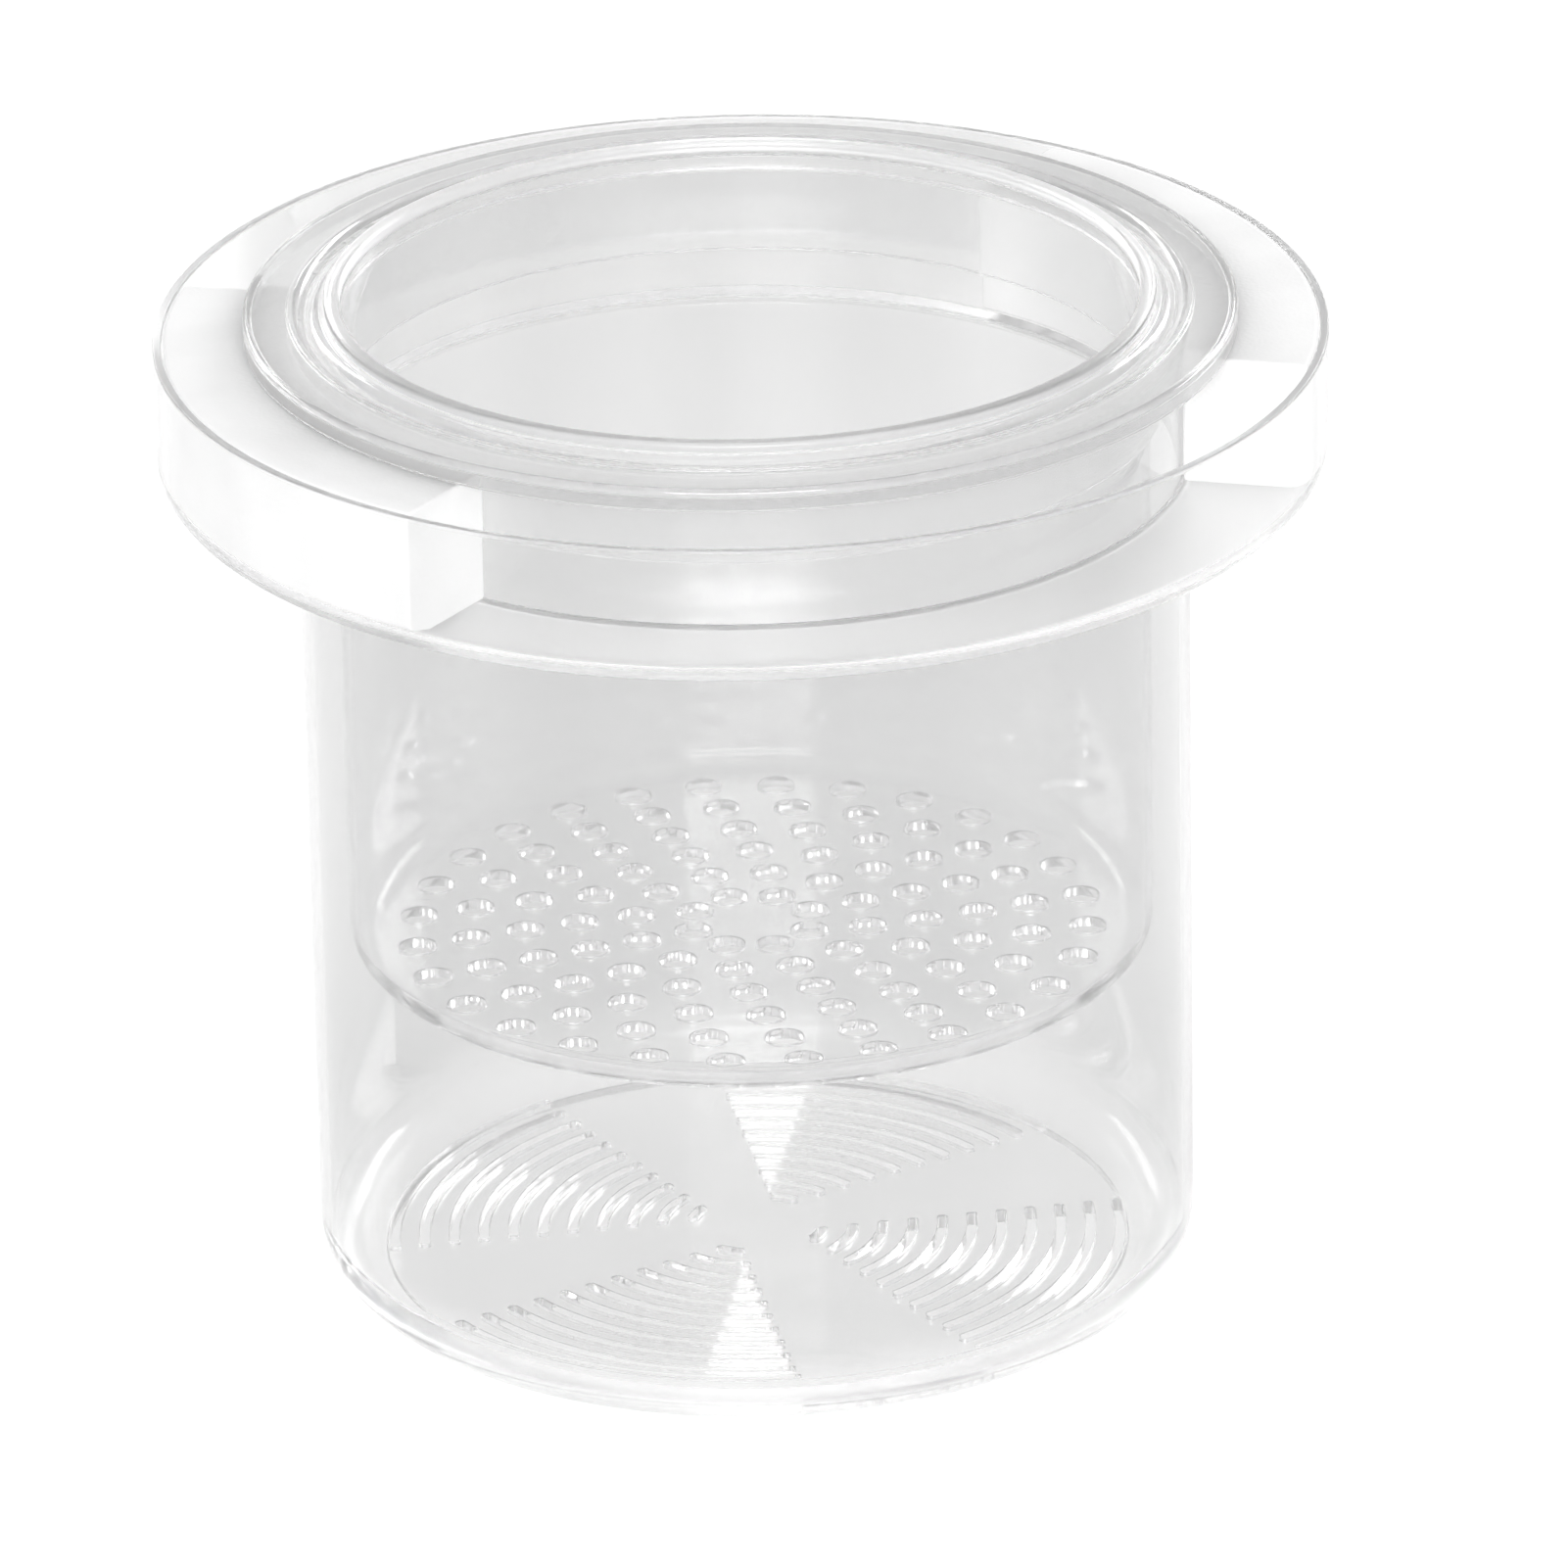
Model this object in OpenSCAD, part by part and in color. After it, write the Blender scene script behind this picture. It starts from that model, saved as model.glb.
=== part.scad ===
// Floating fish breeding box.
// A clear round bucket with a slotted bottom carries a float trough round its rim.
// Two foam floats lie in the trough, a clear ring covers its inner edge, and a clear
// basket with a perforated floor hangs in the ring, so that fry drop through the
// floor into the bucket below and the grown fish stays above.
// Millimetres, +Z up, origin at the middle of the underside, floats on the X axis.

/* [Bucket] */
// Outside diameter of the bucket
bucket_d = 122; // [100:1:150]
// Height of the float trough's rim above the table
rim_h = 138.5; // [125:0.5:170]
// Wall of the bucket
bucket_wall = 1.5; // [1.2:0.1:2]
// Outside radius of the bucket's lower edge
bucket_corner_r = 8; // [6:0.5:9]
// Inside radius between the bucket's wall and its bottom
bucket_cove_r = 6; // [4:0.5:8]
// Thickness of the slotted bottom
bottom_t = 2; // [1.6:0.1:3]
// Height of the slotted bottom's underside above the table
bottom_lift = 1.4; // [0.8:0.1:2]
// Width of the flat foot round the slotted bottom
foot_w = 1.2; // [0.8:0.1:2]

/* [Slotted bottom] */
// Radius of the smallest ring of slots
slot_first_r = 9.3; // [7:0.1:12]
// Distance from one ring of slots to the next
slot_pitch = 4.15; // [3.4:0.05:6]
// Width of a slot, too narrow for fry
slot_w = 1.4; // [1:0.1:1.8]
// Least land between the last ring of slots and the foot
slot_land = 0.2; // [0.2:0.1:2]
// Solid spokes between the slots
spokes = 4; // [3:1:6]
// Width of a spoke where it leaves the middle
spoke_w = 7; // [5:0.5:9]
// Angle by which a spoke widens towards the wall
spoke_flare = 21.7; // [10:0.1:28]

/* [Float trough] */
// Width of the trough inside, from the bucket's wall to its own
trough_w = 17.8; // [14:0.1:24]
// Height of the trough outside
trough_h = 19.7; // [16:0.1:24]
// Wall of the trough
trough_wall = 1.2; // [1:0.1:1.6]
// Thickness of the trough's ledge
ledge_t = 1.5; // [1.2:0.1:2]
// Outside radius of the trough's lower edge
trough_corner_r = 4; // [2.5:0.1:5]
// Fillet between the trough's ledge and the bucket
ledge_fillet_r = 1.5; // [1:0.1:3]
// Rounding of the trough's top edge
rim_edge_r = 0.5; // [0.3:0.1:0.5]

/* [Floats] */
// Angle that one float covers
float_span = 69.5; // [50:0.5:80]
// Gap between a float and the trough's two walls
float_clear = 0.3; // [0.2:0.05:0.5]
// Rounding of a float's lower outer edge
float_edge_r = 2.8; // [2:0.1:3.5]

/* [Top ring] */
// Reach of the ring's flange over the trough, past the bucket's wall
flange_over = 6.7; // [5:0.1:10]
// Thickness of the ring's flange
ring_t = 1.3; // [1:0.1:1.6]
// Wall of the ring's skirt
skirt_wall = 1.1; // [0.9:0.1:1.4]
// Height of the ring's skirt
skirt_h = 3.3; // [2.8:0.1:4.5]
// Gap between the skirt and the floats under it
skirt_gap = 0.3; // [0.2:0.05:0.6]
// Rounding of the ring's top outer edge
skirt_edge_r = 0.8; // [0.4:0.1:0.9]
// Rise of the ring's deck above its flange
deck_rise = 0.6; // [0.4:0.1:1]
// Overhang of the deck past the bucket's wall
deck_over = 0.6; // [0.3:0.1:1]
// Radius of the hollow that runs round the deck
deck_hollow_r = 2.2; // [1.6:0.1:3]
// Depth of the hollow
deck_hollow_depth = 0.9; // [0.4:0.1:1]
// Depth of the shoulder that centres the ring in the bucket
shoulder_h = 1.5; // [1:0.1:3]
// Gap between the shoulder and the bucket's wall
shoulder_clear = 0.3; // [0.2:0.05:0.5]
// Step from the shoulder in to the collar
shoulder_step = 2; // [1:0.1:4]
// Wall of the ring's collar
collar_wall = 1.2; // [1:0.1:1.5]
// Depth of the collar below the trough's rim
collar_drop = 11; // [6:0.5:20]

/* [Basket] */
// Wall of the basket
basket_wall = 1.2; // [1:0.1:1.6]
// Gap between the basket and the ring's collar
basket_clear = 0.4; // [0.3:0.05:0.6]
// Overhang of the basket's bead past its wall
bead_over = 1; // [0.8:0.1:1.2]
// Height of the basket's bead
bead_h = 1.4; // [1.2:0.1:2]
// Rounding of the bead's top edges
bead_edge_r = 0.6; // [0.3:0.1:0.9]
// Depth of the basket inside, from the top of its bead to its floor
basket_depth = 94; // [70:1:105]
// Thickness of the perforated floor
basket_floor_t = 1.6; // [1.2:0.1:2.4]
// Inside radius between the basket's wall and its floor
basket_cove_r = 3.5; // [2:0.1:4]
// Outside radius of the basket's lower edge
basket_corner_r = 4.5; // [2.5:0.1:5]

/* [Perforated floor] */
// Diameter of a hole that fry drop through
hole_d = 5; // [3:0.1:5.5]
// Radius of the smallest ring of holes
hole_first_r = 8.7; // [8:0.1:12]
// Distance from one ring of holes to the next
hole_pitch = 7.57; // [6.6:0.01:12]
// Holes in the smallest ring
hole_first_count = 8; // [6:1:8]
// Holes that each ring has more than the one inside it
hole_step = 4; // [2:1:5]
// Least land between the last ring of holes and the floor's rounded edge
hole_land = 1.5; // [0.5:0.1:6]

/* [Hidden] */
$fn = 96;
cut = 1;                                      // how far a cut runs past the face it opens
clear_plastic = [0.86, 0.88, 0.9, 0.35];
white_foam = [0.97, 0.97, 0.96];

// Bucket and trough
bucket_r = bucket_d / 2;
bucket_in_r = bucket_r - bucket_wall;
bottom_z = bottom_lift + bottom_t;            // top of the slotted bottom
foot_r = bucket_r - bucket_corner_r - foot_w; // where the foot ends and the slotted bottom starts
slot_last_r = foot_r - slot_land - slot_w / 2;
slot_rings = 1 + floor((slot_last_r - slot_first_r) / slot_pitch);
trough_r = bucket_r + trough_w;               // inside of the trough's outer wall
rim_r = trough_r + trough_wall;
ledge_z = rim_h - trough_h;                   // underside of the ledge
trough_z = ledge_z + ledge_t;                 // top of the ledge

// Top ring, from the bottom of its skirt upwards
ring_r = bucket_r + flange_over;
skirt_z = rim_h + skirt_gap;
flange_z = skirt_z + skirt_h;                 // top of the flange
bucket_top_z = flange_z - ring_t;             // the flange lies on the bucket's wall
deck_z = flange_z + deck_rise;                // top of the deck
deck_r = bucket_r + deck_over;
shoulder_r = bucket_in_r - shoulder_clear;
shoulder_z = bucket_top_z - shoulder_h;
collar_r = shoulder_r - shoulder_step;
collar_in_r = collar_r - collar_wall;

// Basket, hung by its bead on the ring's deck
basket_r = collar_in_r - basket_clear;
basket_in_r = basket_r - basket_wall;
bead_r = basket_r + bead_over;
bead_z = deck_z + bead_h;                     // top of the whole box
basket_floor_z = bead_z - basket_depth;       // top of the perforated floor
basket_z = basket_floor_z - basket_floor_t;
hollow_mid_r = (bead_r + deck_r) / 2;         // the deck's hollow lies between the bead and the step
hole_last_r = basket_in_r - basket_cove_r - hole_land - hole_d / 2;
hole_rings = 1 + floor((hole_last_r - hole_first_r) / hole_pitch);

// Floats
float_in_r = bucket_r + float_clear;
float_r = trough_r - float_clear;

// The sharp tip outside a rounded corner: its corner is at the origin, its legs run along
// sx and sy. Cut away, it rounds an outer corner; added, it fillets an inner one.
module corner_tip(r, sx = 1, sy = 1) {
    scale([sx, sy])
        difference() {
            square(r);
            translate([r, r]) circle(r);
        }
}

// Half section of a cup, closed below and filled to its axis
module cup_section(r, z0, z1, edge_r) {
    difference() {
        translate([0, z0]) square([r, z1 - z0]);
        translate([r, z0]) corner_tip(edge_r, -1, 1);
    }
}

// Half section of a ring that is a plain rectangle
module band_section(r0, r1, z0, z1) {
    translate([r0, z0]) square([r1 - r0, z1 - z0]);
}

// Bucket wall and bottom, one moulding with the trough round its rim
module bucket_section() {
    difference() {
        union() {
            cup_section(bucket_r, 0, bucket_top_z, bucket_corner_r);
            cup_section(rim_r, ledge_z, rim_h, trough_corner_r);
            translate([bucket_r, ledge_z]) corner_tip(ledge_fillet_r, 1, -1);
        }
        cup_section(bucket_in_r, bottom_z, bucket_top_z + cut, bucket_cove_r);
        difference() {
            cup_section(trough_r, trough_z, rim_h + cut, trough_corner_r - trough_wall);
            square([bucket_r, bucket_top_z + 2 * cut]);
        }
        translate([rim_r, rim_h]) corner_tip(rim_edge_r, -1, -1);
        translate([trough_r, rim_h]) corner_tip(rim_edge_r, 1, -1);
        translate([0, -cut]) square([foot_r, bottom_lift + cut]);
    }
}

// A solid spoke's outline, wider towards the wall
module spoke_outline() {
    reach = foot_r + cut;
    flare = reach * tan(spoke_flare / 2);
    polygon([[0, -spoke_w / 2], [reach, -spoke_w / 2 - flare], [reach, spoke_w / 2 + flare], [0, spoke_w / 2]]);
}

// Concentric slots, interrupted by the spokes
module slot_cutters() {
    difference() {
        translate([0, 0, bottom_lift - cut])
            linear_extrude(bottom_t + 2 * cut)
                for (ring = [0 : slot_rings - 1]) {
                    r = slot_first_r + ring * slot_pitch;
                    difference() {
                        circle(r + slot_w / 2);
                        circle(r - slot_w / 2);
                    }
                }
        translate([0, 0, bottom_lift - 2 * cut])
            linear_extrude(bottom_t + 4 * cut)
                for (i = [0 : spokes - 1])
                    rotate(i * 360 / spokes) spoke_outline();
    }
}

module outer_bucket() {
    color(clear_plastic)
        difference() {
            rotate_extrude() bucket_section();
            slot_cutters();
        }
}

// Basket wall, bead and floor
module basket_section() {
    difference() {
        union() {
            cup_section(basket_r, basket_z, bead_z, basket_corner_r);
            band_section(basket_in_r, bead_r, deck_z, bead_z);
        }
        cup_section(basket_in_r, basket_floor_z, bead_z + cut, basket_cove_r);
        translate([bead_r, bead_z]) corner_tip(bead_edge_r, -1, -1);
        translate([basket_in_r, bead_z]) corner_tip(bead_edge_r, 1, -1);
    }
}

// Holes that the fry drop through, in rings
module hole_cutters() {
    for (ring = [0 : hole_rings - 1]) {
        count = hole_first_count + ring * hole_step;
        r = hole_first_r + ring * hole_pitch;
        for (i = [0 : count - 1])
            rotate(i * 360 / count)
                translate([r, 0, basket_z - cut])
                    cylinder(d = hole_d, h = basket_floor_t + 2 * cut, $fn = 24);
    }
}

module inner_basket() {
    color(clear_plastic)
        difference() {
            rotate_extrude() basket_section();
            hole_cutters();
        }
}

// Skirt, flange, deck with its hollow, centring shoulder and collar
module ring_section() {
    difference() {
        union() {
            band_section(collar_in_r, ring_r, skirt_z, flange_z);
            band_section(collar_in_r, deck_r, skirt_z, deck_z);
            band_section(collar_in_r, collar_r, rim_h - collar_drop, deck_z);
            band_section(collar_in_r, shoulder_r, shoulder_z, deck_z);
        }
        band_section(shoulder_r, ring_r - skirt_wall, skirt_z - cut, bucket_top_z);
        band_section(collar_r, shoulder_r + cut, skirt_z - cut, shoulder_z);
        translate([ring_r, flange_z]) corner_tip(skirt_edge_r, -1, -1);
        translate([hollow_mid_r, deck_z - deck_hollow_depth + deck_hollow_r]) circle(deck_hollow_r);
    }
}

module top_ring() {
    color(clear_plastic) rotate_extrude() ring_section();
}

// One float: an arc of foam with flat ends, centred on the angle that it is turned to
module float_block(middle) {
    color(white_foam)
        rotate(middle - float_span / 2)
            rotate_extrude(angle = float_span)
                difference() {
                    band_section(float_in_r, float_r, trough_z, rim_h);
                    translate([float_r, trough_z]) corner_tip(float_edge_r, -1, 1);
                }
}

module float_left() {
    float_block(180);
}

module float_right() {
    float_block(0);
}

outer_bucket();
inner_basket();
top_ring();
float_left();
float_right();
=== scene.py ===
"""A round floating fish breeding box of clear plastic, with white foam floats, on a white stage."""
import math

import bpy
from mathutils import Euler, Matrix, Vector
from mathutils.geometry import delaunay_2d_cdt


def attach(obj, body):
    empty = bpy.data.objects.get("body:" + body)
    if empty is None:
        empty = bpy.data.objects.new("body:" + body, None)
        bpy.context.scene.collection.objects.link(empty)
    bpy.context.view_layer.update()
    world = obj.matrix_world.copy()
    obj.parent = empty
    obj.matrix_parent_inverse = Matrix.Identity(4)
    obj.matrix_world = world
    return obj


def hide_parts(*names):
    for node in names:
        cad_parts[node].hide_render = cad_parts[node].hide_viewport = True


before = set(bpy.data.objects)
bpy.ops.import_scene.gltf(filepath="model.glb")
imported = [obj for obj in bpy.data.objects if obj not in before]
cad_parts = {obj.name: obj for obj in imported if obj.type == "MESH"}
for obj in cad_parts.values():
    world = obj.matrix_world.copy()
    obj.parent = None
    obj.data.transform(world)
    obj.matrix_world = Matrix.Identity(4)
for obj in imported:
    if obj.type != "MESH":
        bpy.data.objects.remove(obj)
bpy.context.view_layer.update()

# Camera: where the rim's middle stands in the picture, and how the camera looks at it
IMAGE_SIDE = 1601
SENSOR_WIDTH = 36.0
FOCAL_PIXELS = 13846.0
RIM_MIDDLE = Vector((0, 0, 0.1385))
RIM_MIDDLE_PIXEL = (756.0, 331.0)
CAMERA_DISTANCE = 1.845
CAMERA_AZIMUTH = math.radians(-21.0)
CAMERA_ELEVATION = math.radians(21.8)
CAMERA_ROLL = math.radians(-1.1)
CAMERA_CLIP = (0.05, 100)

# Soft boxes: azimuth and elevation in degrees, distance, width, height, radiance
SOFT_BOXES = {
    "soft_box_front": (-21, 21.8, 2.2, 1.35, 0.42, 17.0),
    "soft_box_right": (119, 21.8, 2.2, 1.5, 0.32, 13.0),
    "soft_box_left": (-161, 21.8, 2.2, 1.5, 0.32, 8.0),
    "soft_box_top": (0, 88, 1.8, 1.2, 1.2, 0.35),
}
SOFT_BOX_AIM = Vector((0, 0, 0.08))
SKY_LEVEL = 0.55
LIGHT_BOUNCES = 64
TRANSPARENT_BOUNCES = 32

# The floor keeps the object's shadow near it, and further out it is an even white backdrop
FLOOR_SIZE = 16
FLOOR_DROP = 0.0005
FLOOR_COLOR = 0.86
FLOOR_GLOW = 0.2
BACKDROP_SPAN_R = (0.45, 0.9)

# Sizes of the CAD model that the dressed pieces follow, in metres. Only RIM_R is 0.03 mm less, so
# that the rim stays inside the box of the CAD's faceted one
LEDGE_Z = 0.1188
LEDGE_THICKNESS = 0.0015
BUCKET_R = 0.061
BUCKET_IN_R = 0.0595
BUCKET_TOP_Z = 0.1408
BOTTOM_Z = 0.0014
BOTTOM_TOP_Z = 0.0034
FOOT_R = 0.0518
SLOT_FIRST_R = 0.0093
SLOT_PITCH = 0.00415
SLOT_RINGS = 11
SLOT_WIDTH = 0.0014
SPOKES = 4
SPOKE_HALF_WIDTH = 0.0035
SPOKE_FLARE = math.radians(21.7) / 2
TROUGH_R = 0.0788
RIM_R = 0.07997
RIM_Z = 0.1385
BASKET_R = 0.0556
BASKET_IN_R = 0.0544
BASKET_Z = 0.0485
BASKET_FLOOR_Z = 0.0501
BEAD_R = 0.0566
TOP_Z = 0.1441
HOLE_R = 0.0025
HOLE_FIRST_R = 0.0087
HOLE_PITCH = 0.00757
HOLE_RINGS = 6
HOLE_FIRST_COUNT = 8
HOLE_STEP = 4
COLLAR_IN_R = 0.056
COLLAR_R = 0.0572
COLLAR_Z = 0.1275
SHOULDER_R = 0.0592
SHOULDER_Z = 0.1393
DECK_R = 0.0616
DECK_Z = 0.1427
HOLLOW_R = 0.0591
HOLLOW_HALF_WIDTH = 0.001775
HOLLOW_VERTEX_Z = 0.140277
FLANGE_Z = 0.1421
RING_R = 0.0677
SKIRT_IN_R = 0.0666
SKIRT_Z = 0.1388
FLOAT_IN_R = 0.0613
FLOAT_OUT_R = 0.0785
FLOAT_LOW_Z = 0.1203
FLOAT_TOP_Z = 0.1385
FLOAT_SPAN = math.radians(69.5)
FLOAT_EDGE_R = 0.0028

# Rounding of the CAD model's inner (cove) and outer (corner) edges
BOTTOM_COVE = 0.006
BOTTOM_CORNER = 0.008
LEDGE_COVE = 0.0015
TROUGH_COVE = 0.0028
TROUGH_CORNER = 0.004
BASKET_COVE = 0.0035
BASKET_CORNER = 0.0045
BEAD_EDGE = 0.0006
FLANGE_EDGE = 0.0008
HOLLOW_EDGE = 0.0003
HOLLOW_COVE = 0.002

# Softened edges and fineness of the dressed pieces
SMALL_EDGE = 0.00025
TINY_EDGE = SMALL_EDGE / 2
LEDGE_EDGE = 0.0001
HOLE_EDGE = 0.0003
SLOT_EDGE = 0.00012
SLOT_CORNER = 0.0005
SLOT_CORNER_ROOM = 1.6 * SLOT_CORNER
SLOT_ARC_STEP = math.radians(3)
SLOT_LEAST_STEPS = 4
SEGMENTS = 240
HOLE_SEGMENTS = 32
ARC_STEP = math.radians(12)
LEAST_TURN = 1e-6
POINTS_PER_METRE = 1e7
PLATE_MARGIN = 1e-9
FLOAT_STEPS = 96
FLOAT_CORNER_STEPS = 10
FLOAT_SOFT_EDGE = 0.0005
FLOAT_BEVEL_SEGMENTS = 3
FLOAT_BEVEL_ANGLE = math.radians(40)

# Clear plastic. A tint is the share of light that one wall passes, and frost is added roughness.
# Tints that change over a piece are painted shade and light
PLASTIC_IOR = 1.49
CLEARNESS = 0.965
RING_CLEARNESS = 0.86
FLOW_WAVE = 0.00003
SCRATCH_ROUGHNESS = (0.01, 0.05)
RING_SCRATCH_ROUGHNESS = (0.1, 0.2)
WALL_PASSING = 0.99
FACE_MARGIN = 0.00005
# Almost clear on the rim, the bead and the walls of slots and holes; on those walls it keeps the
# lamps' glints bright, which is painted light
EDGE_TINT = 0.995
STREAK_TINT = 0.012
# Painted shade and light: the walls are greyer at the front and back, clearest beside the floats so
# that the floats show brighter through them, and lighter or greyer from height to height
BUCKET_TINT_AND_PAINTED_SHADE = {
    "bottom": 0.945, "corner": 0.9, "below_basket": 0.765, "wall": 0.822,
    "top": 0.87, "top_by_floats": 0.985, "ledge": 0.985,
    "trough_front": 0.91, "trough_by_floats": 0.985, "trough_back": 0.8,
}
BASKET_TINT_AND_PAINTED_SHADE = {"wall": 0.93, "top": 0.87, "top_by_floats": 0.93}
RING_TINT_AND_PAINTED_SHADE = {"flange": 0.87, "collar": 0.94, "collar_by_floats": 0.98}
RING_PASSING = {"collar": 0.97, "flange": 0.85, "skirt": 0.4}
RIM_FROST = 0.3
LEDGE_FROST = 0.3
BEAD_FROST = 0.3
CORNER_FROST = 0.12
SLOT_END_FROST = 0.6

# Where one tint or frost passes into the next: heights (Z), distances from the axis (R), and
# shares of the way to the back, where -1 is the front, 0 beside the floats and 1 the back
BOTTOM_SPAN_Z = (BOTTOM_TOP_Z, BOTTOM_TOP_Z + 0.003)
CORNER_SPAN_Z = (0.006, 0.014)
BASKET_FLOOR_SPAN_Z = (0.04, 0.06)
WALL_TOP_SPAN_Z = (LEDGE_Z - 0.001, LEDGE_Z + 0.002)
LEDGE_SPAN_Z = (LEDGE_Z + 0.001, LEDGE_Z + 0.003)
RIM_SPAN_Z = (RIM_Z - 0.0003, RIM_Z - 0.0001)
TROUGH_SPAN_R = (BUCKET_R + 0.0002, BUCKET_R + 0.001)
SLOTS_END_SPAN_R = (FOOT_R + 0.0003, FOOT_R + 0.0006)
BUCKET_FLOAT_SPAN = (0.45, 0.65)
TROUGH_FRONT_SPAN = (-0.6, -0.45)
TROUGH_BACK_SPAN = (0.42, 0.7)
BASKET_TOP_SPAN_Z = (0.09, 0.12)
BEAD_SPAN_Z = (DECK_Z, DECK_Z + 0.0003)
HOLES_END_SPAN_R = (0.0502, 0.0506)
SOFT_FLOAT_SPAN = (0.35, 0.8)
COLLAR_SPAN_R = (COLLAR_R, SHOULDER_R)
FLANGE_SPAN_R = (SHOULDER_R, DECK_R)
SKIRT_SPAN_R = (SKIRT_IN_R - 0.001, SKIRT_IN_R)
LEDGE_FROST_BAND_Z = (LEDGE_Z - 0.001, LEDGE_Z + 0.003, 0.0008)
LEDGE_FROST_SPAN_R = (BUCKET_R + 0.0001, BUCKET_R + 0.0005)
CORNER_FROST_SPAN_Z = (0.004, 0.009)
CORNER_FROST_SPAN_R = (FOOT_R - 0.0001, FOOT_R + 0.001)
RIM_FROST_SPAN_Z = (RIM_Z - 0.0008, RIM_Z - 0.0003)
BEAD_FROST_SPAN_Z = (DECK_Z - 0.001, DECK_Z)
SLOT_FROST_SPAN_R = (FOOT_R - 0.0004, FOOT_R - 0.0002)
SLOT_END_SPAN = (0.4, 0.8)

# Noises: scale, detail and stretch along the axis
STREAKS = (45.0, 1.0, 0.04)
FLOW_WAVES = (55.0, 1.0, 0.18)
SCRATCHES = (900.0, 3.0, 0.35)
FOAM_CLOUDS = (60.0, 3.0, 1.0)
NOISE_SPAN = (0.3, 0.7)
SCRATCH_SPAN = (0.35, 0.8)

# Foam: its tone and roughness, and the cells of its skin
FOAM_TONE = (0.90, 0.95)
FOAM_ROUGHNESS = (0.6, 0.75)
FOAM_CELL_SCALE = 1500.0
FOAM_CELL_DEPTH = 0.0001
FOAM_CELL_STRENGTH = 0.4

WHITE = (1, 1, 1, 1)


def new_material(name):
    """An empty node material, with its node tree and output node"""
    material = bpy.data.materials.new(name)
    material.use_nodes = True
    tree = material.node_tree
    tree.nodes.clear()
    output = tree.nodes.new("ShaderNodeOutputMaterial")
    return material, tree, output


def fill(tree, socket, value):
    """Put a constant in a socket, or link another node's output to it"""
    if isinstance(value, bpy.types.NodeSocket):
        tree.links.new(value, socket)
    else:
        socket.default_value = value


def operation_node(tree, kind, operation, values):
    node = tree.nodes.new(kind)
    node.operation = operation
    for socket, value in zip(node.inputs, values):
        fill(tree, socket, value)
    return node


def math_node(tree, operation, *values):
    return operation_node(tree, "ShaderNodeMath", operation, values).outputs[0]


def vector_node(tree, operation, *vectors):
    return operation_node(tree, "ShaderNodeVectorMath", operation, vectors)


def map_range(tree, value, low, high, to_low, to_high):
    """A smooth step from to_low to to_high while the value goes from low to high"""
    node = tree.nodes.new("ShaderNodeMapRange")
    node.interpolation_type = "SMOOTHSTEP"
    numbers = {"Value": value, "From Min": low, "From Max": high,
               "To Min": to_low, "To Max": to_high}
    for name, number in numbers.items():
        fill(tree, node.inputs[name], number)
    return node.outputs["Result"]


def rise(tree, value, low, high):
    return map_range(tree, value, low, high, 0.0, 1.0)


def fall(tree, value, low, high):
    return map_range(tree, value, low, high, 1.0, 0.0)


def both(tree, a, b):
    return math_node(tree, "MULTIPLY", a, b)


def either(tree, a, b):
    return math_node(tree, "MAXIMUM", a, b)


def band(tree, value, low, high, soft):
    """1 between low and high, 0 outside, with soft edges inside"""
    return both(tree, rise(tree, value, low, low + soft), fall(tree, value, high - soft, high))


def between_faces(tree, height, low, high):
    """1 inside an opening through a plate, 0 on the plate's faces"""
    return band(tree, height, low + FACE_MARGIN, high - FACE_MARGIN, 2 * FACE_MARGIN)


def mixed(tree, share, a, b):
    node = tree.nodes.new("ShaderNodeMix")
    node.data_type = "FLOAT"
    for socket, value in zip((node.inputs[0], node.inputs[2], node.inputs[3]), (share, a, b)):
        fill(tree, socket, value)
    return node.outputs[0]


def mixed_shader(tree, share, a, b):
    node = tree.nodes.new("ShaderNodeMixShader")
    fill(tree, node.inputs["Fac"], share)
    tree.links.new(a, node.inputs[1])
    tree.links.new(b, node.inputs[2])
    return node.outputs["Shader"]


def white_light(tree, kind, strength):
    """White light from an emission or background node"""
    node = tree.nodes.new(kind)
    node.inputs["Color"].default_value = WHITE
    fill(tree, node.inputs["Strength"], strength)
    return node.outputs[0]


def grey(tree, level):
    node = tree.nodes.new("ShaderNodeCombineColor")
    for socket in node.inputs:
        fill(tree, socket, level)
    return node.outputs["Color"]


def noise(tree, vector, scale, detail, upright):
    mapping = tree.nodes.new("ShaderNodeMapping")
    mapping.inputs["Scale"].default_value = (scale, scale, scale * upright)
    tree.links.new(vector, mapping.inputs["Vector"])
    node = tree.nodes.new("ShaderNodeTexNoise")
    node.inputs["Scale"].default_value = 1.0
    node.inputs["Detail"].default_value = detail
    tree.links.new(mapping.outputs["Vector"], node.inputs["Vector"])
    return node.outputs["Fac"]


def relief(tree, height, strength, distance):
    """The normal of a surface with slight relief"""
    bump = tree.nodes.new("ShaderNodeBump")
    bump.inputs["Strength"].default_value = strength
    bump.inputs["Distance"].default_value = distance
    tree.links.new(height, bump.inputs["Height"])
    return bump.outputs["Normal"]


def parts_of(tree, place):
    """Height, distance from the axis, and share of that distance towards the back"""
    split = tree.nodes.new("ShaderNodeSeparateXYZ")
    tree.links.new(place, split.inputs[0])
    squares = [math_node(tree, "POWER", split.outputs[axis], 2.0) for axis in "XY"]
    radius = math_node(tree, "SQRT", math_node(tree, "ADD", *squares))
    return split.outputs["Z"], radius, math_node(tree, "DIVIDE", split.outputs["Y"], radius)


def streaks(tree, place):
    """Faint upright streaks of the plastic's flow in the mould"""
    return map_range(tree, noise(tree, place, *STREAKS), *NOISE_SPAN, -STREAK_TINT, STREAK_TINT)


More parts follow.
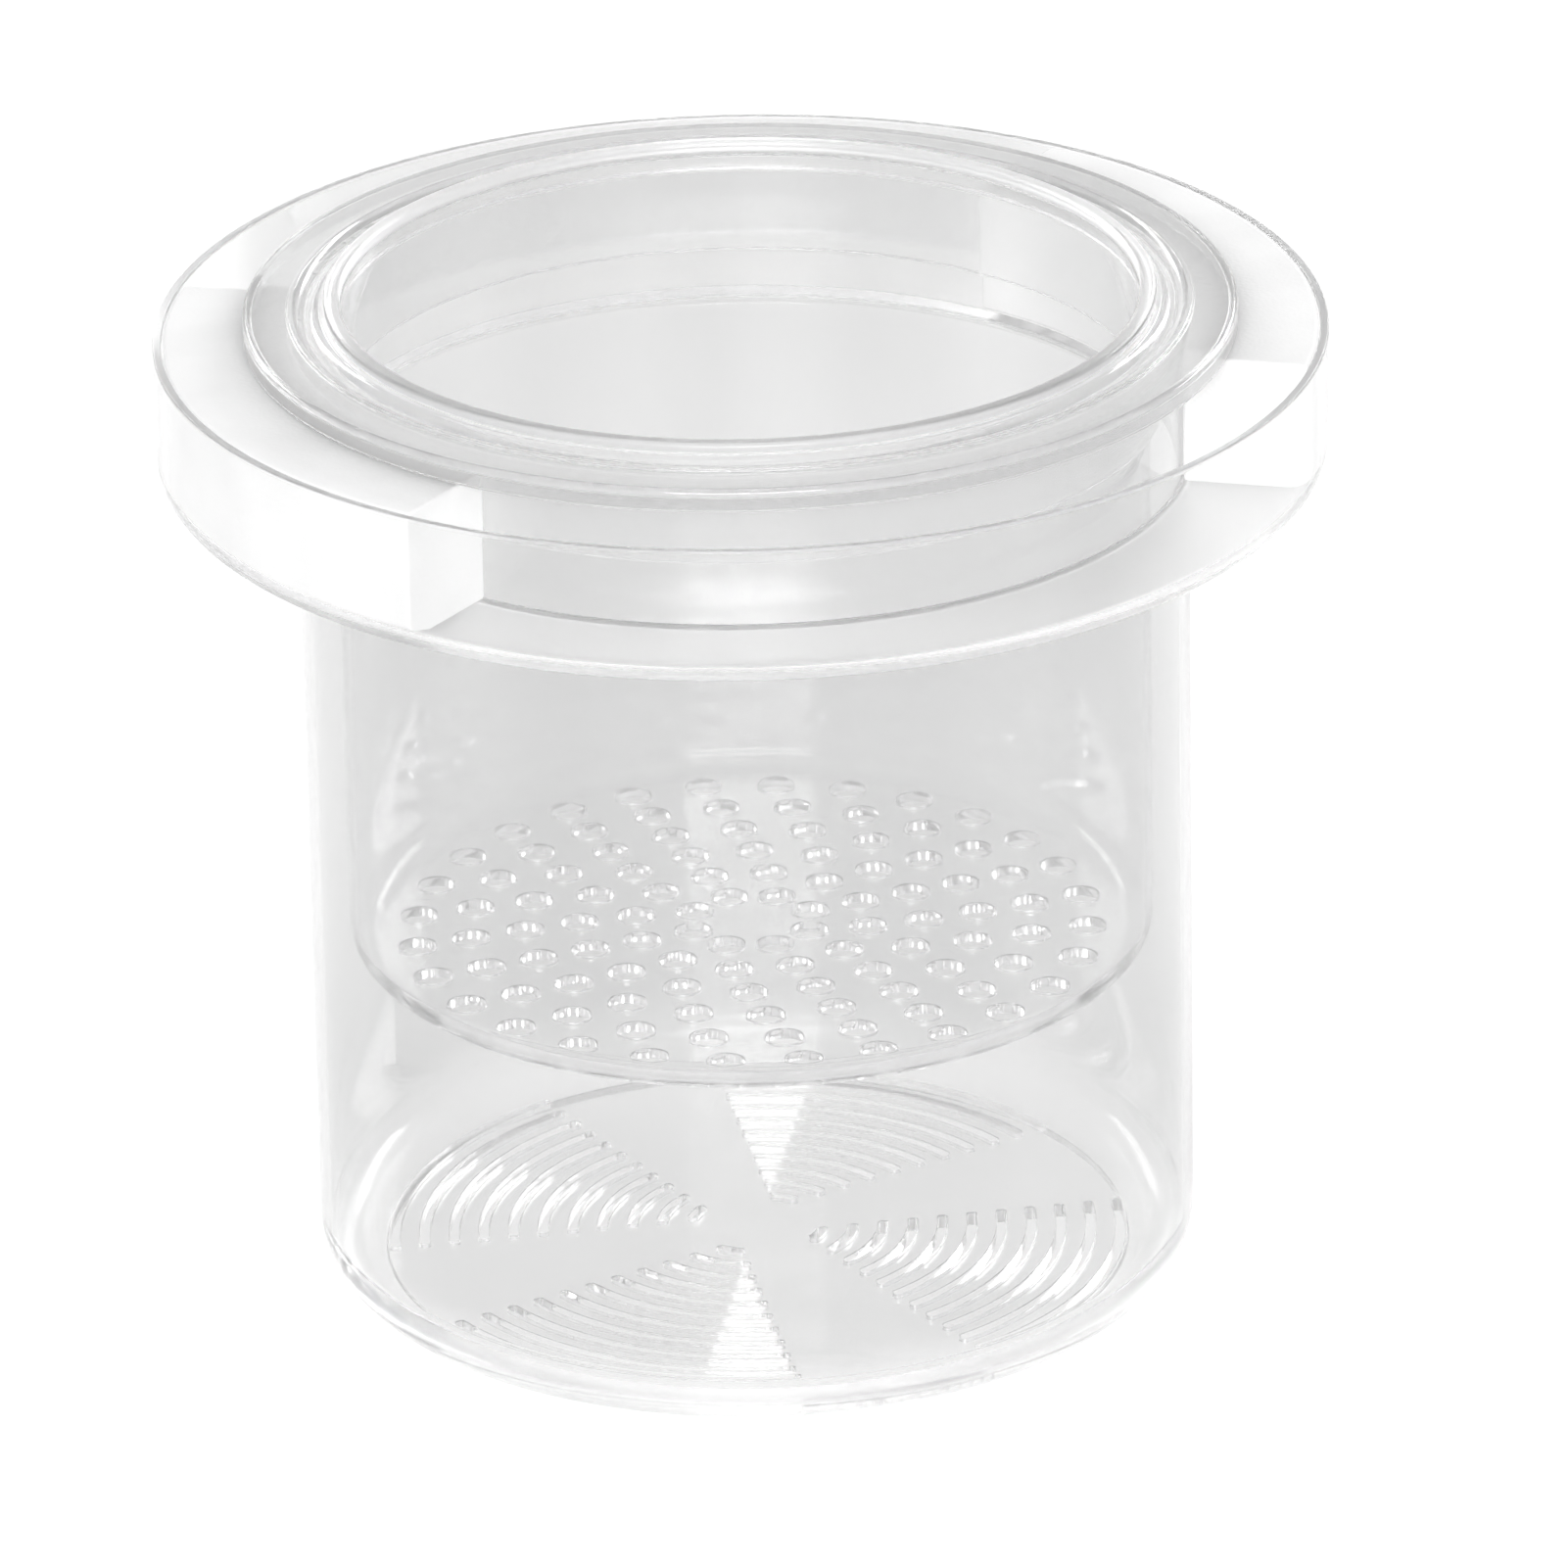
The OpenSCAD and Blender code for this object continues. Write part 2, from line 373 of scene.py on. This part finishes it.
def by_floats(tree, back, span, away, beside):
    """One tint at the front and back, and another beside the floats: painted light, as the clearer
    tint beside a float makes it show brighter through the wall
    """
    share = fall(tree, math_node(tree, "ABSOLUTE", back), *span)
    return map_range(tree, share, 0.0, 1.0, away, beside)


def bucket_tint_and_painted_shade(tree, place):
    """Painted shade and light: greyest below the trough, greyer at the trough's front and back,
    clearer beside the floats, and clear in the slots and at the rim
    """
    height, radius, back = parts_of(tree, place)
    tints_and_shade = BUCKET_TINT_AND_PAINTED_SHADE
    low = map_range(tree, height, *BOTTOM_SPAN_Z, tints_and_shade["bottom"], tints_and_shade["corner"])
    middle = map_range(tree, height, *BASKET_FLOOR_SPAN_Z, tints_and_shade["below_basket"], tints_and_shade["wall"])
    lower = map_range(tree, height, *CORNER_SPAN_Z, low, middle)
    upper = by_floats(tree, back, BUCKET_FLOAT_SPAN, tints_and_shade["top"], tints_and_shade["top_by_floats"])
    wall = map_range(tree, height, *WALL_TOP_SPAN_Z, lower, upper)
    front, beside = tints_and_shade["trough_front"], tints_and_shade["trough_by_floats"]
    trough = map_range(tree, back, *TROUGH_FRONT_SPAN, front, beside)
    trough = map_range(tree, back, *TROUGH_BACK_SPAN, trough, tints_and_shade["trough_back"])
    trough = map_range(tree, height, *LEDGE_SPAN_Z, tints_and_shade["ledge"], trough)
    tint = mixed(tree, rise(tree, radius, *TROUGH_SPAN_R), wall, trough)
    tint = math_node(tree, "ADD", tint, streaks(tree, place))
    # Painted light: the slot walls are clear so that the lamps' glints in the slots stay bright
    in_slots = both(tree, between_faces(tree, height, BOTTOM_Z, BOTTOM_TOP_Z),
                    fall(tree, radius, *SLOTS_END_SPAN_R))
    at_rim = rise(tree, height, *RIM_SPAN_Z)
    return mixed(tree, either(tree, in_slots, at_rim), tint, EDGE_TINT)


def basket_tint_and_painted_shade(tree, place):
    """Lighter than the bucket, and clear in the holes and on the bead. Painted shade and light: the
    top of the wall is greyer except beside the floats, which show brighter through it, and the
    clear hole walls keep the lamps' glints bright
    """
    height, radius, back = parts_of(tree, place)
    tints_and_shade = BASKET_TINT_AND_PAINTED_SHADE
    upper = by_floats(tree, back, SOFT_FLOAT_SPAN, tints_and_shade["top"], tints_and_shade["top_by_floats"])
    tint = map_range(tree, height, *BASKET_TOP_SPAN_Z, tints_and_shade["wall"], upper)
    tint = math_node(tree, "ADD", tint, streaks(tree, place))
    in_holes = both(tree, between_faces(tree, height, BASKET_Z, BASKET_FLOOR_Z),
                    fall(tree, radius, *HOLES_END_SPAN_R))
    on_bead = rise(tree, height, *BEAD_SPAN_Z)
    return mixed(tree, either(tree, in_holes, on_bead), tint, EDGE_TINT)


def ring_tint_and_painted_shade(tree, place):
    """Painted shade and light: greyer in the flange than in the collar, which is clearer beside the
    floats so that they show brighter
    """
    radius, back = parts_of(tree, place)[1:]
    tints_and_shade = RING_TINT_AND_PAINTED_SHADE
    collar = by_floats(tree, back, SOFT_FLOAT_SPAN, tints_and_shade["collar"], tints_and_shade["collar_by_floats"])
    return map_range(tree, radius, *COLLAR_SPAN_R, collar, tints_and_shade["flange"])


def slot_ends(tree, place):
    """1 on the flat walls that end a slot, 0 on its curved walls and on the plate's faces"""
    height, radius = parts_of(tree, place)[:2]
    normal = tree.nodes.new("ShaderNodeNewGeometry").outputs["Normal"]
    flat = vector_node(tree, "MULTIPLY", place, (1, 1, 0)).outputs["Vector"]
    outward = vector_node(tree, "NORMALIZE", flat).outputs["Vector"]
    across = vector_node(tree, "DOT_PRODUCT", normal, outward).outputs["Value"]
    curved = math_node(tree, "ABSOLUTE", across)
    inside = both(tree, between_faces(tree, height, BOTTOM_Z, BOTTOM_TOP_Z),
                  fall(tree, radius, *SLOT_FROST_SPAN_R))
    return both(tree, inside, fall(tree, curved, *SLOT_END_SPAN))


def bucket_frost(tree, place):
    """Frost at the rim, in the ledge, at the lower corner and on the slots' ends"""
    height, radius = parts_of(tree, place)[:2]
    ledge = both(tree, band(tree, height, *LEDGE_FROST_BAND_Z),
                 map_range(tree, radius, *LEDGE_FROST_SPAN_R, 0.0, LEDGE_FROST))
    corner = both(tree, map_range(tree, height, *CORNER_FROST_SPAN_Z, CORNER_FROST, 0.0),
                  rise(tree, radius, *CORNER_FROST_SPAN_R))
    rim = map_range(tree, height, *RIM_FROST_SPAN_Z, 0.0, RIM_FROST)
    ends = both(tree, slot_ends(tree, place), SLOT_END_FROST)
    frost = ledge
    for more in (rim, corner, ends):
        frost = math_node(tree, "ADD", frost, more)
    return frost


def basket_frost(tree, place):
    """Frost on the bead"""
    return map_range(tree, parts_of(tree, place)[0], *BEAD_FROST_SPAN_Z, 0.0, BEAD_FROST)


def ring_passing(tree, place):
    """Light that goes down through the flange is dimmed, and in the skirt it is mostly led away"""
    radius = parts_of(tree, place)[1]
    levels = RING_PASSING
    flange = map_range(tree, radius, *FLANGE_SPAN_R, levels["collar"], levels["flange"])
    return map_range(tree, radius, *SKIRT_SPAN_R, flange, levels["skirt"])


def clear_plastic(name, tint_and_shade_of, frost_of=None, passing_of=None, clearness=CLEARNESS,
                  scratch=SCRATCH_ROUGHNESS):
    """Clear moulded plastic: a grey tint that also holds painted shade and light, slight flow waves
    and a haze of fine scratches

    Lamps and scattered light go straight through it, dimmed by what passing_of says.
    """
    material, tree, output = new_material(name)
    nodes, links = tree.nodes, tree.links
    place = nodes.new("ShaderNodeTexCoord").outputs["Object"]
    roughness = map_range(tree, noise(tree, place, *SCRATCHES), *SCRATCH_SPAN, *scratch)
    if frost_of:
        roughness = math_node(tree, "ADD", roughness, frost_of(tree, place))
    normal = relief(tree, noise(tree, place, *FLOW_WAVES), 1.0, FLOW_WAVE)
    surface = nodes.new("ShaderNodeBsdfPrincipled")
    surface.inputs["IOR"].default_value = PLASTIC_IOR
    surface.inputs["Transmission Weight"].default_value = clearness
    links.new(grey(tree, tint_and_shade_of(tree, place)), surface.inputs["Base Color"])
    links.new(roughness, surface.inputs["Roughness"])
    links.new(normal, surface.inputs["Normal"])
    passing = nodes.new("ShaderNodeBsdfTransparent")
    level = passing_of(tree, place) if passing_of else WALL_PASSING
    links.new(grey(tree, level), passing.inputs["Color"])
    path = nodes.new("ShaderNodeLightPath")
    shader = surface.outputs["BSDF"]
    for ray in ("Is Shadow Ray", "Is Diffuse Ray"):
        shader = mixed_shader(tree, path.outputs[ray], shader, passing.outputs["BSDF"])
    links.new(shader, output.inputs["Surface"])
    return material


def foam():
    """White closed-cell foam: a skin of fine cells, slightly uneven in tone"""
    material, tree, output = new_material("float_foam_white")
    nodes, links = tree.nodes, tree.links
    place = nodes.new("ShaderNodeTexCoord").outputs["Object"]
    clouds = noise(tree, place, *FOAM_CLOUDS)
    cells = nodes.new("ShaderNodeTexVoronoi")
    cells.inputs["Scale"].default_value = FOAM_CELL_SCALE
    links.new(place, cells.inputs["Vector"])
    surface = nodes.new("ShaderNodeBsdfPrincipled")
    tone = map_range(tree, clouds, *NOISE_SPAN, *FOAM_TONE)
    roughness = map_range(tree, clouds, *NOISE_SPAN, *FOAM_ROUGHNESS)
    normal = relief(tree, cells.outputs["Distance"], FOAM_CELL_STRENGTH, FOAM_CELL_DEPTH)
    links.new(grey(tree, tone), surface.inputs["Base Color"])
    links.new(roughness, surface.inputs["Roughness"])
    links.new(normal, surface.inputs["Normal"])
    links.new(surface.outputs["BSDF"], output.inputs["Surface"])
    return material


def turned(x, y, angle):
    return x * math.cos(angle) - y * math.sin(angle), x * math.sin(angle) + y * math.cos(angle)


def round_steps(count):
    """Cosine and sine of each step round a full circle"""
    angles = [2 * math.pi * i / count for i in range(count)]
    return [(math.cos(angle), math.sin(angle)) for angle in angles]


def rounded(corners, closed=False):
    """An outline with its corners rounded, as points with normals (x, y, nx, ny)

    The air lies to its left. A corner is x, y and a radius, and without a radius it is a point on
    a smooth curve.
    """
    count = len(corners)
    out = []
    for i in range(count):
        x, y, radius = corners[i]
        before, after = corners[i - 1], corners[(i + 1) % count]
        d1 = Vector((x - before[0], y - before[1])).normalized()
        d2 = Vector((after[0] - x, after[1] - y)).normalized()
        if not closed and i == 0:
            d1 = d2
        if not closed and i == count - 1:
            d2 = d1
        turn = math.atan2(d1.x * d2.y - d1.y * d2.x, d1.dot(d2))
        nx, ny = -d1.y, d1.x
        if radius is None or abs(turn) < LEAST_TURN:
            mx, my = turned(nx, ny, turn / 2)
            out.append((x, y, mx, my))
            continue
        trim = radius * math.tan(abs(turn) / 2)
        side = 1 if turn > 0 else -1
        cx = x - d1.x * trim + nx * radius * side
        cy = y - d1.y * trim + ny * radius * side
        steps = max(1, math.ceil(abs(turn) / ARC_STEP))
        for k in range(steps + 1):
            mx, my = turned(nx, ny, turn * k / steps)
            out.append((cx - mx * radius * side, cy - my * radius * side, mx, my))
    return out


def smooth_mesh(name, points, faces):
    mesh = bpy.data.meshes.new(name)
    mesh.from_pydata(points, [], faces)
    mesh.update()
    for polygon in mesh.polygons:
        polygon.use_smooth = True
    return mesh


def add_object(name, data):
    made = bpy.data.objects.new(name, data)
    bpy.context.scene.collection.objects.link(made)
    return made


def dress(piece, node, body):
    """The piece stands in for a CAD node and rides on its body"""
    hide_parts(node)
    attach(piece, body)


class Moulding:
    """A smooth mesh in the making

    Points that lie on each other are one, and each has its exact normal.
    """

    def __init__(self):
        self.places, self.normals, self.faces, self.index = [], [], [], {}

    def point(self, place, normal):
        key = tuple(round(value * POINTS_PER_METRE) for value in place)
        if key not in self.index:
            self.index[key] = len(self.places)
            self.places.append(place)
            self.normals.append(normal)
        return self.index[key]

    def face(self, corners):
        corners = list(dict.fromkeys(corners))
        if len(corners) > 2:
            self.faces.append(corners)

    def strip(self, rows):
        """Faces between rows of points, the last row joined to the first"""
        for a, b in zip(rows, rows[1:] + rows[:1]):
            for k in range(len(a) - 1):
                self.face((a[k], a[k + 1], b[k + 1], b[k]))

    def lathe(self, outline, closed=False):
        """An outline of radius and height, turned round the axis"""
        rows = []
        for c, s in round_steps(SEGMENTS):
            row = [self.point((r * c, r * s, z), (nr * c, nr * s, nz)) for r, z, nr, nz in outline]
            rows.append(row + row[:1] if closed else row)
        self.strip(rows)

    def opening(self, loop, low, high, edge):
        """The wall of an opening through a plate, with softened edges

        The loop holds the opening's outline with normals into the air. The outline on the plate's
        faces is returned.
        """
        lead = 2 * edge
        section = rounded([(lead, low, None), (0, low, edge), (0, high, edge), (lead, high, None)])
        rows = []
        for x, y, nx, ny in loop:
            rows.append([self.point((x - nx * s, y - ny * s, z), (-nx * ns, -ny * ns, nz))
                         for s, z, ns, nz in section[1:-1]])
        self.strip(rows)
        return [(x - nx * edge, y - ny * edge) for x, y, nx, ny in loop]

    def plate(self, radius, openings, z, up):
        """A flat round face with openings"""
        ring = [(radius * c, radius * s) for c, s in round_steps(SEGMENTS)]
        coords, loops = [], []
        for loop in [ring] + openings:
            loops.append(list(range(len(coords), len(coords) + len(loop))))
            coords += loop
        verts, _, faces, sources, _, inside = delaunay_2d_cdt(
            [Vector(c) for c in coords], [], loops, 1, PLATE_MARGIN, True)
        normal = (0, 0, 1 if up else -1)
        index = []
        for place, source in zip(verts, sources):
            x, y = coords[source[0]] if source else place
            index.append(self.point((x, y, z), normal))
        for face, within in zip(faces, inside):
            if list(within) == [0]:
                corners = [index[k] for k in face]
                self.face(corners if up else corners[::-1])

    def build(self, name, material, node, body):
        mesh = smooth_mesh(name, self.places, self.faces)
        mesh.normals_split_custom_set_from_vertices(self.normals)
        mesh.materials.append(material)
        dress(add_object(name, mesh), node, body)


def slot_side(radius, start, end):
    """One curved side of a slot between two spokes, with rounded corners at its ends"""
    spoke_edge = SPOKE_FLARE + math.asin(SPOKE_HALF_WIDTH * math.cos(SPOKE_FLARE) / radius)
    first, last = start + spoke_edge, end - spoke_edge
    steps = max(SLOT_LEAST_STEPS, round((last - first) / SLOT_ARC_STEP))
    arc = []
    for k in range(steps + 1):
        angle = first + (last - first) * k / steps
        at_end = k in (0, steps)
        if at_end or min(angle - first, last - angle) * radius >= SLOT_CORNER_ROOM:
            corner = SLOT_CORNER if at_end else None
            arc.append((radius * math.cos(angle), radius * math.sin(angle), corner))
    return arc


def slot_loops():
    """Outlines of the slots in the bucket's bottom, counter-clockwise"""
    loops = []
    for ring in range(SLOT_RINGS):
        middle = SLOT_FIRST_R + ring * SLOT_PITCH
        for spoke in range(SPOKES):
            start = 2 * math.pi * spoke / SPOKES
            end = start + 2 * math.pi / SPOKES
            outer = slot_side(middle + SLOT_WIDTH / 2, start, end)
            inner = slot_side(middle - SLOT_WIDTH / 2, start, end)
            loops.append(rounded(outer + inner[::-1], closed=True))
    return loops


def hole_loops():
    """Outlines of the round holes in the basket's floor, counter-clockwise"""
    loops = []
    for ring in range(HOLE_RINGS):
        count = HOLE_FIRST_COUNT + ring * HOLE_STEP
        middle = HOLE_FIRST_R + ring * HOLE_PITCH
        for i in range(count):
            cx, cy = turned(middle, 0, 2 * math.pi * i / count)
            loops.append([(cx + HOLE_R * c, cy + HOLE_R * s, -c, -s)
                          for c, s in round_steps(HOLE_SEGMENTS)])
    return loops


def make_bucket(material):
    moulding = Moulding()
    ledge_top = LEDGE_Z + LEDGE_THICKNESS
    moulding.lathe(rounded([
        (BUCKET_IN_R - BOTTOM_COVE, BOTTOM_TOP_Z, None), (BUCKET_IN_R, BOTTOM_TOP_Z, BOTTOM_COVE),
        (BUCKET_IN_R, BUCKET_TOP_Z, SMALL_EDGE), (BUCKET_R, BUCKET_TOP_Z, SMALL_EDGE),
        (BUCKET_R, ledge_top, LEDGE_EDGE), (TROUGH_R, ledge_top, TROUGH_COVE),
        (TROUGH_R, RIM_Z, SMALL_EDGE), (RIM_R, RIM_Z, SMALL_EDGE),
        (RIM_R, LEDGE_Z, TROUGH_CORNER), (BUCKET_R, LEDGE_Z, LEDGE_COVE),
        (BUCKET_R, 0, BOTTOM_CORNER), (FOOT_R, 0, SMALL_EDGE),
        (FOOT_R, BOTTOM_Z, TINY_EDGE), (FOOT_R - TINY_EDGE, BOTTOM_Z, None)]))
    rims = [moulding.opening(loop, BOTTOM_Z, BOTTOM_TOP_Z, SLOT_EDGE) for loop in slot_loops()]
    moulding.plate(BUCKET_IN_R - BOTTOM_COVE, rims, BOTTOM_TOP_Z, True)
    moulding.plate(FOOT_R - TINY_EDGE, rims, BOTTOM_Z, False)
    moulding.build("bucket_moulding", material, "outer_bucket", "bucket")


def make_basket(material):
    moulding = Moulding()
    moulding.lathe(rounded([
        (BASKET_IN_R - BASKET_COVE, BASKET_FLOOR_Z, None),
        (BASKET_IN_R, BASKET_FLOOR_Z, BASKET_COVE),
        (BASKET_IN_R, TOP_Z, BEAD_EDGE), (BEAD_R, TOP_Z, BEAD_EDGE),
        (BEAD_R, DECK_Z, SMALL_EDGE), (BASKET_R, DECK_Z, SMALL_EDGE),
        (BASKET_R, BASKET_Z, BASKET_CORNER), (BASKET_R - BASKET_CORNER, BASKET_Z, None)]))
    rims = [moulding.opening(loop, BASKET_Z, BASKET_FLOOR_Z, HOLE_EDGE) for loop in hole_loops()]
    moulding.plate(BASKET_IN_R - BASKET_COVE, rims, BASKET_FLOOR_Z, True)
    moulding.plate(BASKET_R - BASKET_CORNER, rims, BASKET_Z, False)
    moulding.build("basket_moulding", material, "inner_basket", "basket")


def make_ring(material):
    moulding = Moulding()
    moulding.lathe(rounded([
        (COLLAR_IN_R, DECK_Z, SMALL_EDGE),
        (HOLLOW_R - HOLLOW_HALF_WIDTH, DECK_Z, HOLLOW_EDGE),
        (HOLLOW_R, HOLLOW_VERTEX_Z, HOLLOW_COVE),
        (HOLLOW_R + HOLLOW_HALF_WIDTH, DECK_Z, HOLLOW_EDGE),
        (DECK_R, DECK_Z, SMALL_EDGE), (DECK_R, FLANGE_Z, SMALL_EDGE),
        (RING_R, FLANGE_Z, FLANGE_EDGE), (RING_R, SKIRT_Z, SMALL_EDGE),
        (SKIRT_IN_R, SKIRT_Z, SMALL_EDGE), (SKIRT_IN_R, BUCKET_TOP_Z, SMALL_EDGE),
        (SHOULDER_R, BUCKET_TOP_Z, TINY_EDGE), (SHOULDER_R, SHOULDER_Z, SMALL_EDGE),
        (COLLAR_R, SHOULDER_Z, SMALL_EDGE), (COLLAR_R, COLLAR_Z, SMALL_EDGE),
        (COLLAR_IN_R, COLLAR_Z, SMALL_EDGE)], closed=True), closed=True)
    moulding.build("ring_moulding", material, "top_ring", "ring")


def make_float(name, middle, node, body, material):
    """An arc block of foam with softened edges, in place of its CAD solid"""
    profile = [(FLOAT_IN_R, FLOAT_LOW_Z)]
    for i in range(FLOAT_CORNER_STEPS + 1):
        turn = math.pi / 2 * i / FLOAT_CORNER_STEPS
        profile.append((FLOAT_OUT_R - FLOAT_EDGE_R * (1 - math.sin(turn)),
                        FLOAT_LOW_Z + FLOAT_EDGE_R * (1 - math.cos(turn))))
    profile += [(FLOAT_OUT_R, FLOAT_TOP_Z), (FLOAT_IN_R, FLOAT_TOP_Z)]
    count = len(profile)
    points, faces = [], []
    for i in range(FLOAT_STEPS + 1):
        angle = middle + FLOAT_SPAN * (i / FLOAT_STEPS - 0.5)
        points += [(r * math.cos(angle), r * math.sin(angle), z) for r, z in profile]
    for i in range(FLOAT_STEPS):
        for k in range(count):
            a, b = i * count + k, i * count + (k + 1) % count
            faces.append((a, a + count, b + count, b))
    faces.append(tuple(range(count)))
    faces.append(tuple(reversed(range(FLOAT_STEPS * count, (FLOAT_STEPS + 1) * count))))
    mesh = smooth_mesh(name, points, faces)
    mesh.materials.append(material)
    piece = add_object(name, mesh)
    bevel = piece.modifiers.new("softened_edges", "BEVEL")
    bevel.width = FLOAT_SOFT_EDGE
    bevel.segments = FLOAT_BEVEL_SEGMENTS
    bevel.limit_method = "ANGLE"
    bevel.angle_limit = FLOAT_BEVEL_ANGLE
    bevel.harden_normals = True
    dress(piece, node, body)


def direction(azimuth, elevation):
    """From the object towards an azimuth (0 is the front, -Y) and an elevation"""
    level = math.cos(elevation)
    return Vector((math.sin(azimuth) * level, -math.cos(azimuth) * level, math.sin(elevation)))


def make_camera():
    """The photo's camera, turned so that the rim's middle falls on its place in the picture"""
    back = direction(CAMERA_AZIMUTH, CAMERA_ELEVATION)
    data = bpy.data.cameras.new("camera")
    data.sensor_width = SENSOR_WIDTH
    data.lens = FOCAL_PIXELS / IMAGE_SIDE * SENSOR_WIDTH
    data.clip_start, data.clip_end = CAMERA_CLIP
    camera = add_object("camera", data)
    camera.location = RIM_MIDDLE + back * CAMERA_DISTANCE
    across, down = RIM_MIDDLE_PIXEL
    seen = Vector((across - IMAGE_SIDE / 2, IMAGE_SIDE / 2 - down, -FOCAL_PIXELS))
    aim = seen.normalized().rotation_difference(Vector((0, 0, -1)))
    facing = (-back).to_track_quat("-Z", "Y")
    roll = Euler((0, 0, CAMERA_ROLL)).to_quaternion()
    camera.rotation_mode = "QUATERNION"
    camera.rotation_quaternion = facing @ roll @ aim
    bpy.context.scene.camera = camera


def make_soft_box(name, azimuth, elevation, distance, width, height, radiance):
    """A rectangular lamp that looks at the object"""
    back = direction(math.radians(azimuth), math.radians(elevation))
    data = bpy.data.lights.new(name, "AREA")
    data.shape = "RECTANGLE"
    data.size, data.size_y = width, height
    data.energy = radiance * math.pi * width * height
    lamp = add_object(name, data)
    lamp.location = SOFT_BOX_AIM + back * distance
    lamp.rotation_mode = "QUATERNION"
    lamp.rotation_quaternion = (-back).to_track_quat("-Z", "Y")
    lamp.visible_camera = False


def seen_rays(tree):
    """1 for rays that show the stage: from the camera, or reflected or passed on by the object"""
    rays = tree.nodes.new("ShaderNodeLightPath").outputs
    seen = either(tree, rays["Is Camera Ray"], rays["Is Glossy Ray"])
    return either(tree, seen, rays["Is Transmission Ray"])


def make_floor():
    """A white floor with the object's shadow, which passes into an even white further out"""
    material, tree, output = new_material("stage_white")
    seen = seen_rays(tree)
    surface = tree.nodes.new("ShaderNodeBsdfDiffuse")
    surface.inputs["Color"].default_value = (FLOOR_COLOR, FLOOR_COLOR, FLOOR_COLOR, 1)
    glow = white_light(tree, "ShaderNodeEmission", both(tree, seen, FLOOR_GLOW))
    near = tree.nodes.new("ShaderNodeAddShader")
    tree.links.new(surface.outputs["BSDF"], near.inputs[0])
    tree.links.new(glow, near.inputs[1])
    backdrop = white_light(tree, "ShaderNodeEmission", 1.0)
    place = tree.nodes.new("ShaderNodeNewGeometry").outputs["Position"]
    far = rise(tree, parts_of(tree, place)[1], *BACKDROP_SPAN_R)
    shader = mixed_shader(tree, both(tree, seen, far), near.outputs["Shader"], backdrop)
    tree.links.new(shader, output.inputs["Surface"])
    bpy.ops.mesh.primitive_plane_add(size=FLOOR_SIZE, location=(0, 0, -FLOOR_DROP))
    floor = bpy.context.object
    floor.name = "floor"
    floor.data.materials.append(material)


def make_world():
    """An even sky that lights the object, and looks pure white where it is seen"""
    world = bpy.data.worlds.new("studio")
    bpy.context.scene.world = world
    world.use_nodes = True
    tree = world.node_tree
    tree.nodes.clear()
    output = tree.nodes.new("ShaderNodeOutputWorld")
    sky = white_light(tree, "ShaderNodeBackground", SKY_LEVEL)
    backdrop = white_light(tree, "ShaderNodeBackground", 1.0)
    shader = mixed_shader(tree, seen_rays(tree), sky, backdrop)
    tree.links.new(shader, output.inputs["Surface"])


bpy.context.scene.view_settings.view_transform = "Standard"
make_camera()
make_floor()
make_world()
for name, placing in SOFT_BOXES.items():
    make_soft_box(name, *placing)

make_bucket(clear_plastic("bucket_plastic_clear", bucket_tint_and_painted_shade, bucket_frost))
make_basket(clear_plastic("basket_plastic_clear", basket_tint_and_painted_shade, basket_frost))
make_ring(clear_plastic("ring_plastic_clear", ring_tint_and_painted_shade, None, ring_passing,
                        RING_CLEARNESS, RING_SCRATCH_ROUGHNESS))
foam_material = foam()
make_float("float_block_left", math.pi, "float_left", "left_float", foam_material)
make_float("float_block_right", 0.0, "float_right", "right_float", foam_material)

cycles = bpy.context.scene.cycles
cycles.max_bounces = LIGHT_BOUNCES
cycles.transmission_bounces = LIGHT_BOUNCES
cycles.glossy_bounces = LIGHT_BOUNCES
cycles.transparent_max_bounces = TRANSPARENT_BOUNCES
